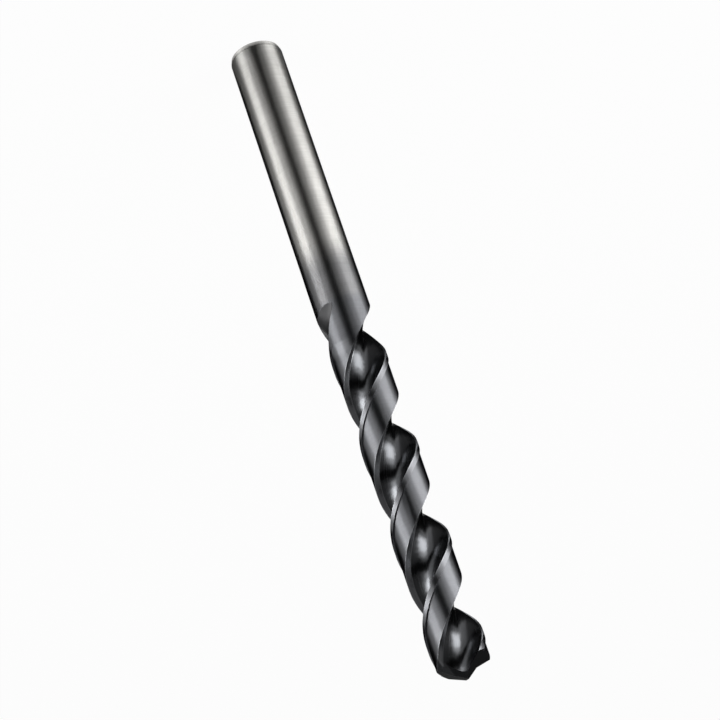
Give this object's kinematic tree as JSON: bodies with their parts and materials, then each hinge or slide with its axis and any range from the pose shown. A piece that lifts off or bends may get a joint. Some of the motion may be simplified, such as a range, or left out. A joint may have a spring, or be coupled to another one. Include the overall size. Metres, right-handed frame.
{
  "type": "twist drill bit",
  "caption": "Jobber twist drill bit with wide helical flutes, narrow margins, a split point and a plain round shank, for a drill chuck.",
  "frame": {"origin": "centre of the flat end of the shank", "axes": "+Z runs along the drill's axis from the shank end to the point; X and Y are square to it"},
  "size_m": [0.01, 0.01, 0.133],
  "materials": {
    "hss_black": "satin"
  },
  "bodies": {
    "root": {"twist_drill": "hss_black"}
  },
  "joints": []
}
